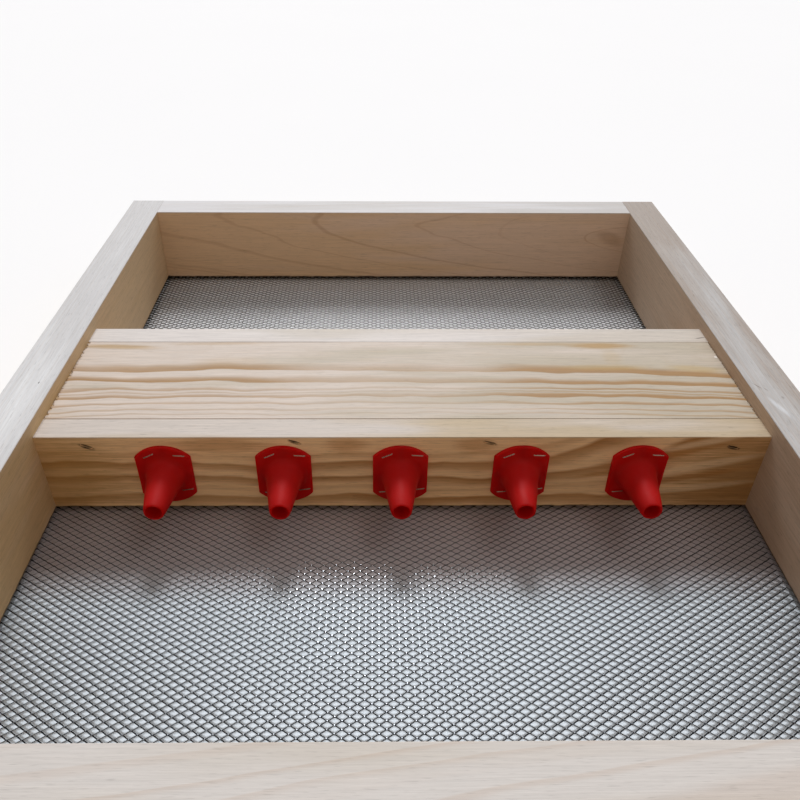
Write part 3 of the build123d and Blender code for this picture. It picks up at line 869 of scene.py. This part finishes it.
def makeConeStaples(wire, sizes):
    tree, keys = stapleTree("bright_staples", wire)
    for number in range(1, cone["count"] + 1):
        low, high = (Vector(corner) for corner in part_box(f"escape_cone_{number}"))
        middle = (low + high) / 2
        places = []
        for across, up, tilt in staple["coneDrift"]:
            point = (middle.x + across * mm, high.y - (flangeFace + staple["wire"]) * mm, middle.z + up * mm)
            places.append(facePlace(point, (0, -1, 0), (1, 0, 0), tilt))
        node = f"cone_staples_{number}"
        growPiece(f"cone_wire_{number}", staplePoints(node, places), tree, keys,
                  {**sizes, "Leg": staple["coneLeg"] * mm}, node, wire)


def makeCoverStaples(wire, sizes):
    tree, keys = stapleTree("sunk_staples", wire)
    low, high = (Vector(corner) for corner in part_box("tunnel_cover"))
    spread = (high.x - low.x) / 2 - staple["coverMargin"] * mm
    count = len(staple["coverDrift"])
    for side, node, rail in ((-1, "front_cover_staples", "tunnel_front_rail"),
                             (1, "rear_cover_staples", "tunnel_rear_rail")):
        railLow, railHigh = (Vector(corner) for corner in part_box(rail))
        face = railLow.y if side < 0 else railHigh.y
        places = []
        for number, (shift, lift, tilt) in enumerate(staple["coverDrift"]):
            along = spread * (2 * number / (count - 1) - 1) + shift * mm
            point = (-side * along, face - side * staple["sink"] * mm, (low.z + high.z) / 2 + lift * mm)
            places.append(facePlace(point, (0, side, 0), (-side, 0, 0), tilt))
        growPiece(node.replace("staples", "wire"), staplePoints(node, places), tree, keys,
                  {**sizes, "Leg": staple["coverLeg"] * mm}, node, wire)


def makeStaples():
    bright = metalMaterial("bright_wire", staple["bright"], staple["dull"], staple["roughness"],
                           staple["cloudScale"])
    dark = metalMaterial("sunk_wire", staple["sunkShadedBright"], staple["sunkShadedDull"], staple["sunkRoughness"],
                         staple["cloudScale"])
    sizes = {"Crown": staple["crown"] * mm, "Wire": staple["wire"] * mm, "Bend": staple["bend"] * mm}
    makeConeStaples(bright, sizes)
    makeCoverStaples(dark, sizes)
    # these staples take the wire painted near black for shade
    for node in ("corner_staples", "tunnel_staples"):
        paintNode(node, dark)
    for node in ("front_mesh_staples", "rear_mesh_staples"):
        paintNode(node, bright)


makeStaples()
print("staples driven")


# Floor, light and camera

studio = {
    "floor": (0.92, 0.92, 0.93),
    "floorTint": 0.985,  # of the clouds in it
    "floorClouds": (3.0, 3.0, 3.0),  # per m
    "floorSize": 12.0,  # m, half its width
    "floorRoughness": 0.9,
    "floorSpecular": 0.1,
    "patchShaded": (0.69, 0.61, 0.615),
    "patchLit": (0.85, 0.925, 1.0),
    "patchEdges": (205.0, -245.0, -35.0),  # half its width, its front and its rear
    "patchTurn": (-92.0, -122.0),  # where the painted shade ends and the painted light begins
    "patchSideShade": (50.0, 190.0, 1.0, 0.84),  # painted shade towards the sides: two distances from the middle, and the levels there
    "backdrop": (1.0, 1.0, 1.0),
    "backdropTop": (0.33, 0.23),  # height of a ray at which it gives way to the sky
    "skyBehind": (0.40, 0.41, 0.42),
    "skyFront": (0.665, 0.461, 0.292),
    "skySide": (0.17, 0.12, 0.08),
    "skyAxis": (0.0, 0.7, 0.7),  # from the front of the sky to what lies behind the board
    "skyTurn": (-0.6, 0.9),
    "skyAside": (0.1, 0.65),
}

suns = {
    "window": {"strength": 2.85, "colour": (0.96, 0.98, 1.0), "angle": 16.0,
               "towards": (0.015, -0.719, -0.695)},
    "side_window": {"strength": 0.2, "colour": (1.0, 1.0, 1.0), "angle": 20.0,
                    "towards": (-0.45, -0.05, -0.89)},
}

camera = {
    "place": (-0.0137, -0.35937, 0.29362),
    "right": (0.99994, -0.00909, 0.00600),
    "down": (-0.00067, -0.60083, -0.79938),
    "sensor": 36.0,
    "lens": 34.05,
    "shift": (0.0180, 0.0218),
    "nearest": 0.01,
}


def addSun(name, sun):
    data = bpy.data.lights.new(name, "SUN")
    data.energy = sun["strength"]
    data.color = sun["colour"]
    data.angle = math.radians(sun["angle"])
    lamp = bpy.data.objects.new(name, data)
    lamp.rotation_euler = Vector(sun["towards"]).to_track_quat("-Z", "Y").to_euler()
    bpy.context.scene.collection.objects.link(lamp)


def makeFloor():
    material, tree, shader = newMaterial("studio_floor")
    where = objectPlace(tree)
    tint = tuple(studio["floorTint"] * level for level in studio["floor"])
    colour = blendColours(tree, scaledNoise(tree, where, studio["floorClouds"]), studio["floor"], tint)
    # a patch that is only seen through the front sheet: painted shade behind the line of the tunnel's shadow,
    # painted light in front of it, and painted shade towards the sides
    x, y = (inMillimetres(tree, axis) for axis in axesOf(tree, where)[:2])
    aside = calc(tree, "ABSOLUTE", x)
    side, front, rear = studio["patchEdges"]
    under = calc(tree, "LESS_THAN", aside, side)
    for inside in (calc(tree, "GREATER_THAN", y, front), calc(tree, "LESS_THAN", y, rear)):
        under = calc(tree, "MULTIPLY", under, inside)
    turn = rescale(tree, y, *studio["patchTurn"], smooth=True)
    patch = blendColours(tree, turn, studio["patchShaded"], studio["patchLit"])
    patch = dim(tree, patch, rescale(tree, aside, *studio["patchSideShade"]))
    tree.links.new(blendColours(tree, under, colour, patch), shader.inputs["Base Color"])
    shader.inputs["Roughness"].default_value = studio["floorRoughness"]
    shader.inputs["Specular IOR Level"].default_value = studio["floorSpecular"]
    mesh = bmesh.new()
    bmesh.ops.create_grid(mesh, x_segments=1, y_segments=1, size=studio["floorSize"])
    data = bpy.data.meshes.new("floor")
    mesh.to_mesh(data)
    mesh.free()
    data.materials.append(material)
    floor = bpy.data.objects.new("floor", data)
    bpy.context.scene.collection.objects.link(floor)


def makeSky():
    world = bpy.data.worlds.new("studio_sky")
    bpy.context.scene.world = world
    world.use_nodes = True
    tree = world.node_tree
    tree.nodes.clear()
    ray = addNode(tree, "ShaderNodeTexCoord").outputs["Generated"]
    facing = addNode(tree, "ShaderNodeVectorMath", {0: ray, 1: studio["skyAxis"]},
                     operation="DOT_PRODUCT").outputs["Value"]
    x, _, z = axesOf(tree, ray)
    aside = rescale(tree, calc(tree, "ABSOLUTE", x), *studio["skyAside"], smooth=True)
    front = blendColours(tree, aside, studio["skyFront"], studio["skySide"])
    behind = rescale(tree, facing, *studio["skyTurn"], smooth=True)
    colour = blendColours(tree, behind, front, studio["skyBehind"])
    # the camera and reflections see a plain backdrop low behind the board
    path = addNode(tree, "ShaderNodeLightPath").outputs
    seen = calc(tree, "MAXIMUM", path["Is Camera Ray"], path["Is Transmission Ray"])
    seen = calc(tree, "MAXIMUM", seen, path["Is Glossy Ray"])
    seen = calc(tree, "MULTIPLY", seen, rescale(tree, z, *studio["backdropTop"], smooth=True))
    colour = blendColours(tree, seen, colour, studio["backdrop"])
    sky = addNode(tree, "ShaderNodeBackground", {"Color": colour})
    addNode(tree, "ShaderNodeOutputWorld", {0: sky.outputs[0]})


def makeCamera():
    data = bpy.data.cameras.new("camera")
    data.sensor_width = camera["sensor"]
    data.sensor_fit = "HORIZONTAL"
    data.lens = camera["lens"]
    data.shift_x, data.shift_y = camera["shift"]
    data.clip_start = camera["nearest"]
    view = bpy.data.objects.new("camera", data)
    right, up = Vector(camera["right"]), -Vector(camera["down"])
    axes = Matrix((right, up, right.cross(up))).transposed().to_4x4()
    axes.translation = Vector(camera["place"])
    view.matrix_world = axes
    bpy.context.scene.collection.objects.link(view)
    bpy.context.scene.camera = view


makeFloor()
makeSky()
for name, sun in suns.items():
    addSun(name, sun)
makeCamera()
bpy.context.scene.view_settings.view_transform = "Standard"
print("studio set")
